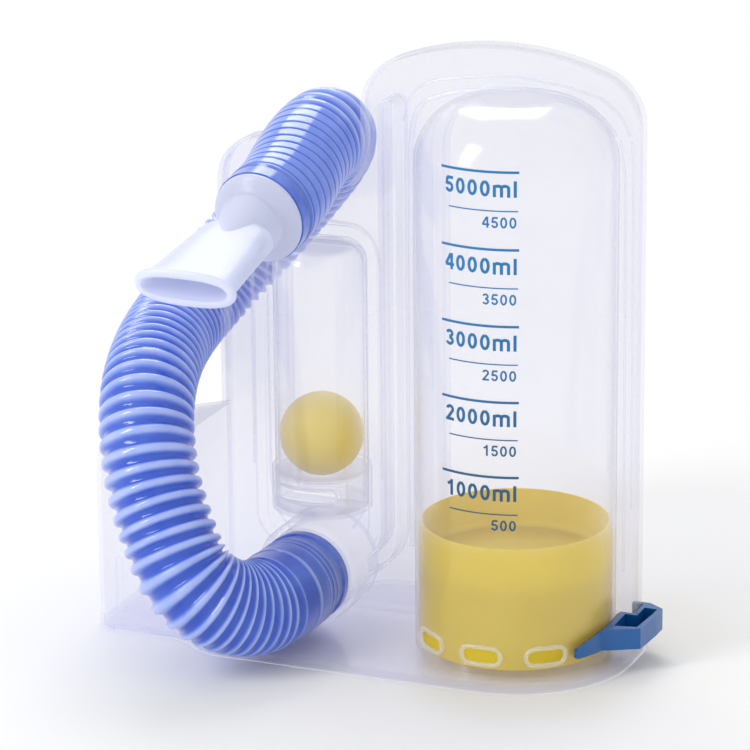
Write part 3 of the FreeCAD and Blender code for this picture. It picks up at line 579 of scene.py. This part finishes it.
dress("piston", makeYellowPolypropylene(piston))
dress("ball", makeYellowBall(ball))
print("stage: piston and ball")

# Cuffs and mouthpiece.
blueCuff = makeBluePolyethylene(hose, "bluePolyethyleneCuffMoulded", hose["cuffTones"])
for name in ("hose_cuff_lower", "hose_cuff_upper"):
    dress(name, blueCuff)

mouth = {
    "root": 7.4,  # from the hose's end to the back of the collar
    "plug": 6.6,
    "plugRadius": 15.1,
    "collar": 17.8,
    "collarEdge": 0.3,
    "collarRound": (1.2, 5.0),  # where its front begins to round, and over what length
    "neck": 12.4,
    "neckSlope": 0.34,
    "neckFrom": 8,
    "length": 61.0,
    "blade": (15.2, 18.9),  # half width where the flat part begins and at the lip
    "bladeFrom": 20,
    "bladeHalf": 5.6,
    "widen": (12.0, 9.0),  # where the blade's width and its height come out of the neck
    "raise": (9.0, 9.0),
    "rootBulge": (0.9, 18, 30),  # how much higher it is at its root, from where, over what length
    "lip": (1.7, 1.7, 1.5),  # rise, how far behind the end, half length
    "wall": 1.4,
    "insideFrom": 26,
    "power": 2.6,
    "steps": 144,
    "skinColour": "#e9ecfa",
    "within": "#e4e8fa",
    "through": "#f6f8ff",
    "clearness": 0.14,
    "grain": (120.0, 3.0, 0.08, 0.0004),
    "skin": {"Roughness": 0.28, "IOR": 1.5},
    "soaks": 0.4,
}


# Milky polyethylene, injection moulded: light spreads inside it, with a soft gloss.
def makeMilkyPolyethylene(v):
    material, tree = newMaterial("milkyPolyethyleneMoulded")
    normal = addBump(tree, addNoise(tree, v["grain"]), v["grain"])
    solid = addPlastic(tree, fromHex(v["skinColour"]), normal, v["skin"], v["soaks"],
                       fromHex(v["within"]))
    through = addThrough(tree, fromHex(v["through"]))
    return finishMaterial(material, mixShaders(tree, v["clearness"], solid, through))


# The mouthpiece's skin in polar form round its axis: radius = the larger of a round neck that
# narrows and a flat blade, a superellipse |x/w|^n + |y/h|^n = 1 that begins halfway with round
# shoulders, so that the two meet in a crease; the inside follows a wall's thickness within.
def makeMouthpiece(v):
    plug, length, power = v["plug"], v["length"], v["power"]
    begin, end = v["blade"]
    a = fullTurn(v["steps"])[None, :]

    def blade(w, h):
        return (np.abs(np.cos(a) / w) ** power + np.abs(np.sin(a) / h) ** power) ** (-1 / power)

    def halfWidth(x):
        start = v["bladeFrom"]
        return begin + (end - begin) * np.clip((x - start) / (length - start), 0, 1)

    def comesOut(x, start, over):  # a quarter circle of the smooth step
        return np.sqrt(np.clip(1 - (1 - smoothStep((x - start) / over)) ** 2, 1e-4, 1))

    # Where the rings stand along the axis: first, last and how many.
    stations = ((-plug, 0.5 - plug, 2), (-5, -0.01, 4), (0.0, 0.4, 2), (0.8, 8, 22), (8.5, 36, 80),
                (36.6, length - 4, 26), (length - 3.8, length, 16))
    along = np.concatenate([np.linspace(*row) for row in stations])[:, None]
    roundFrom, roundOver = v["collarRound"]
    dome = v["neck"] + (v["collar"] - v["neck"]) * (1 - smoothStep((along - roundFrom) / roundOver))
    neck = np.where(along < 0, v["plugRadius"],
                    np.where(along < 0.2, v["collar"] - v["collarEdge"], dome))
    neck = neck - v["neckSlope"] * np.clip(along - v["neckFrom"], 0, None)
    bulge, bulgeFrom, bulgeOver = v["rootBulge"]
    bladeHeight = v["bladeHalf"] + bulge * (1 - smoothStep((along - bulgeFrom) / bulgeOver))
    width = 1.0 + (halfWidth(along) - 1.0) * comesOut(along, *v["widen"])
    height = 1.0 + (bladeHeight - 1.0) * comesOut(along, *v["raise"])
    rise, lipBack, lipHalf = v["lip"]
    lip = rise * np.exp(-((length - lipBack - along) / lipHalf) ** 4)
    outer = np.maximum(np.maximum(neck, 0.5), blade(width + lip, height + lip))
    inside = along[along[:, 0] > v["insideFrom"]][::-1]
    inner = blade(halfWidth(inside) - v["wall"], v["bladeHalf"] - v["wall"] + 0 * inside)
    radius = np.concatenate([outer, inner])
    ahead = np.concatenate([along, inside])
    side = np.array([math.cos(swing), -math.sin(swing), 0.0])
    up = np.cross(side, mouthWay)
    up *= np.sign(up[2])
    base = hoseEnd + mouthWay * v["root"] * mm + [chamberX * mm, 0, 0]
    rings = base + mm * (ahead[..., None] * mouthWay + (radius * np.cos(a))[..., None] * side
                         + (radius * np.sin(a))[..., None] * up)
    if np.dot(np.cross(side, up), mouthWay) < 0:
        rings = rings[:, ::-1]
    return newPiece("mouthpiece_skin", tubeVerts(rings), tubeFaces(*rings.shape[:2]), "mouthpiece",
                    milkyPolyethylene, slot="frosted_mouthpiece")


milkyPolyethylene = makeMilkyPolyethylene(mouth)
mouthPiece = makeMouthpiece(mouth)
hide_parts("mouthpiece")

# Pointer.
pointer = {
    "colour": "#0a5596",
    "grain": (700.0, 2.0, 0.1, 0.0002),
    "skin": {"Roughness": 0.26, "IOR": 1.53},
}


# Blue ABS, injection moulded: opaque and glossy, with a very fine grain.
def makeBlueAbs(v):
    material, tree = newMaterial("blueAbsMoulded")
    normal = addBump(tree, addNoise(tree, v["grain"]), v["grain"])
    return finishMaterial(material, addSkin(tree, fromHex(v["colour"]), normal, v["skin"]))


dress("target_pointer", makeBlueAbs(pointer))
print("stage: mouthpiece and pointer")

# Printed scale.
scale = {
    "radius": 38.5,
    "lift": 0.12,  # the print stands off the wall, so that it never sinks into a facet
    "zero": 54.06,  # height of the zero line
    "step": 14.581,  # height of 500 ml
    "bigLine": (-24.6, 22.0, 0.95),  # degrees from, degrees to, width of a thousand's line
    "smallLine": (-19.3, 21.4, 0.48),
    "bigText": (6.15, 0.19, 3.2),  # height of the figures, stroke per height, drop below the line
    "smallText": (4.2, 0.168, 2.2),
    "textEnd": 20.5,  # degrees
    # In parts of the figures' height: from one sign to the next, and a sign's own margin.
    "advance": 0.80,
    "advances": {"m": 1.24, "l": 0.27},
    "margin": 0.09,
    "lastMargin": (0.01, 0.09),  # after a thousand's last sign, which is a letter, and the others'
    "lineSteps": 30,
    "thickness": 0.06,
    "inkHigh": "#0e6ea6",
    "inkLow": "#1d4c6c",
    "inkFade": (0.07, 0.15),  # metres, the heights between which the ink gets lighter, out of its painted shade
    "mottle": (700.0, 2.0),
    "rough": (0.3, 0.5),
    "ior": 1.5,
}


# Screen ink: satin, a little thin in places, and darker low down where the yellow piston is behind
# it, a painted shade.
def makeInk(v):
    material, tree = newMaterial("blueScreenInkPrinted")
    apart = addNode(tree, "ShaderNodeSeparateXYZ", None, {"Vector": ownPlace(tree)})
    high = remap(tree, apart.outputs["Z"], v["inkFade"])
    colour = mixColours(tree, high, fromHex(v["inkLow"]), fromHex(v["inkHigh"]))
    rough = remap(tree, addNoise(tree, v["mottle"]), target=v["rough"])
    shader = addNode(tree, "ShaderNodeBsdfPrincipled", None, {
        "Base Color": colour, "Roughness": rough, "IOR": v["ior"]})
    return finishMaterial(material, shader.outputs["BSDF"])


# Wraps flat print round the chamber: angle = across / radius.
def onChamber(across, height, outward=0.0):
    r = scale["radius"] + scale["lift"] + outward
    a = across / scale["radius"]
    return inFrame(np.stack([r * np.sin(a), -r * np.cos(a), height + 0 * a], -1))


# Centre lines of a sign's strokes, for a height of 1 and a stroke of width 2 h. What is left
# over at the end is the small l.
def strokes(letter, h):
    def arc(x, y, rx, ry, first, last):
        t = np.radians(np.linspace(first, last, 18))
        return np.stack([x + rx * np.cos(t), y + ry * np.sin(t)], -1)

    w = 0.62
    rx = w / 2 - h
    if letter == "0":
        return [arc(w / 2, 0.5, rx, 0.5 - h, 90, 452)]
    if letter == "1":
        return [[(0.42, 0), (0.42, 1)], [(0.42, 0.96 - h), (0.12, 0.78 - h)]]
    if letter == "2":
        bow = arc(w / 2, 0.71, rx, 0.29 - h, 170, -25)
        return [np.concatenate([bow, [(h * 1.3, h * 1.2)]]), [(0.0, h), (w - 0.01, h)]]
    if letter == "3":
        return [arc(w / 2 - 0.01, 0.735, rx * 0.92, 0.265 - h, 165, -95),
                arc(w / 2, 0.285, rx, 0.285 - h, 100, -165)]
    if letter == "4":
        return [[(w - 0.17 - h * 0.6, 1 - h * 0.5), (h * 0.5, 0.31)],
                [(0.0, 0.30), (w + 0.03, 0.30)], [(w - 0.15, 0), (w - 0.15, 1)]]
    if letter == "5":
        return [[(0.13, 1 - h), (w - 0.03, 1 - h)], [(0.165, 1 - h), (0.105, 0.47)],
                arc(w / 2, 0.325, rx, 0.325 - h, 140, -165)]
    if letter == "m":
        first, second, third = h, 0.52, 1.04 - h
        half = (second - first) / 2
        return [[(x, 0), (x, top)] for x, top in ((first, 0.74), (second, 0.56), (third, 0.56))] + [
            arc(x, 0.56, half, 0.18 - h + 0.04, 180, 0) for x in (first + half, second + half)]
    return [[(h, 0), (h, 1)]]


# Flat stroke of even width: corners = point +- half the width along the stroke's normal, in two
# layers, wrapped round the chamber and closed.
def ribbon(path, width, right, top, size):
    path = np.asarray(path, float)
    way = np.gradient(path, axis=0)
    way /= np.linalg.norm(way, axis=1)[:, None]
    normal = np.stack([-way[:, 1], way[:, 0]], -1) * width / 2
    corners = np.stack([path + normal, path - normal, path - normal, path + normal], 1)
    flat = corners * size + [right, top]
    lift = np.array([0.0, 0.0, scale["thickness"], scale["thickness"]]) + 0 * flat[..., 0]
    n = len(path)
    ends = [[3, 2, 1, 0], [4 * n - 4 + i for i in (0, 1, 2, 3)]]
    return onChamber(flat[..., 0], flat[..., 1], lift), gridFaces(n, 4) + ends


def makeScale(v):
    parts = []
    for tick in range(1, 11):
        z = v["zero"] + tick * v["step"]
        big = tick % 2 == 0
        first, last, width = v["bigLine" if big else "smallLine"]
        height, stroke, drop = v["bigText" if big else "smallText"]
        words = "%dml" % (tick * 500) if big else "%d" % (tick * 500)
        turns = np.radians(np.linspace(first, last, v["lineSteps"])) * v["radius"]
        parts.append(ribbon(np.stack([turns, 0 * turns], -1), width, 0.0, z, 1.0))
        places, at = [], 0.0
        for letter in words:
            places.append(at + v["margin"])
            at += v["advances"].get(letter, v["advance"])
        end = math.radians(v["textEnd"]) * v["radius"]
        begin = end - (at - v["lastMargin"][0 if big else 1]) * height
        for letter, left in zip(words, places):
            for line in strokes(letter, stroke / 2):
                moved = np.asarray(line) + [left, 0]
                parts.append(ribbon(moved, stroke, begin, z - drop - height, height))
    newPiece("printed_scale", *joined(parts), "housing", makeInk(v), smooth=False)


makeScale(scale)
print("stage: scale")

# Floor, lamps and world.
studio = {
    "floor": 3.0,  # metres, as all of these lengths
    "floorSides": 64,
    "near": 0.20,  # the paper fades to the white background between these distances
    "far": 0.45,
    "paper": 0.72,
    "glow": 0.02,
    "bounce": (0.9, 0.9, 0.905, 1.0),
    "white": (1.0, 1.0, 1.0, 1.0),
    "world": 0.88,
    # Name, place, aim, size and watts.
    "lamps": (("softboxBack", (-0.45, 0.95, 1.3), (0.0, 0.0, 0.08), (0.8, 0.8), 11.0),
              ("stripLeft", (-0.85, -1.0, 0.95), (0.0, 0.0, 0.1), (0.36, 0.9), 10.0)),
}


# Matt white paper: it takes the soft shadow near the part and fades to plain white further out.
def makeFloor(v):
    material, tree = newMaterial("paperSweepMatt")
    length = addNode(tree, "ShaderNodeVectorMath", {"operation": "LENGTH"}, {0: ownPlace(tree)})
    fade = remap(tree, length.outputs["Value"], (v["near"], v["far"]), kind="SMOOTHSTEP")
    lit = addNode(tree, "ShaderNodeBsdfDiffuse", None, {"Color": v["bounce"]})
    paper = addNode(tree, "ShaderNodeBsdfDiffuse", None, {"Color": (*[v["paper"]] * 3, 1.0)})
    seen, glow = [addNode(tree, "ShaderNodeEmission", None, {
        "Color": v["white"], "Strength": power}) for power in (1.0, v["glow"])]
    both = addNode(tree, "ShaderNodeAddShader", None, {
        0: paper.outputs["BSDF"], 1: glow.outputs["Emission"]})
    mixed = mixShaders(tree, fade, both.outputs["Shader"], seen.outputs["Emission"])
    ray = addNode(tree, "ShaderNodeLightPath").outputs
    either = compute(tree, "MAXIMUM", ray["Is Camera Ray"], ray["Is Transmission Ray"])
    anyRay = compute(tree, "MAXIMUM", either, ray["Is Glossy Ray"])
    finishMaterial(material, mixShaders(tree, anyRay, lit.outputs["BSDF"], mixed))
    a = fullTurn(v["floorSides"])
    verts = np.stack([v["floor"] * np.cos(a), v["floor"] * np.sin(a), 0 * a], -1)
    mesh = bpy.data.meshes.new("floor")
    mesh.from_pydata(verts.tolist(), [], [list(range(len(a)))])
    mesh.materials.append(material)
    thing = bpy.data.objects.new("floor", mesh)
    scene.collection.objects.link(thing)


def makeWorld(v):
    world = bpy.data.worlds.new("studio")
    scene.world = world
    world.use_nodes = True
    tree = world.node_tree
    tree.nodes.clear()
    ray = addNode(tree, "ShaderNodeLightPath").outputs
    seen = compute(tree, "MAXIMUM", ray["Is Camera Ray"], ray["Is Transmission Ray"])
    light = addNode(tree, "ShaderNodeBackground", None, {
        "Color": v["white"], "Strength": remap(tree, seen, target=(v["world"], 1.0))})
    addNode(tree, "ShaderNodeOutputWorld", None, {"Surface": light.outputs["Background"]})


def makeLamp(name, place, aim, size, watts):
    data = bpy.data.lights.new(name, "AREA")
    data.shape, data.size, data.size_y, data.energy = "RECTANGLE", size[0], size[1], watts
    thing = bpy.data.objects.new(name, data)
    scene.collection.objects.link(thing)
    thing.location = place
    thing.rotation_euler = (Vector(aim) - Vector(place)).to_track_quat("-Z", "Y").to_euler()


makeFloor(studio)
makeWorld(studio)
for lamp in studio["lamps"]:
    makeLamp(*lamp)
print("stage: studio")
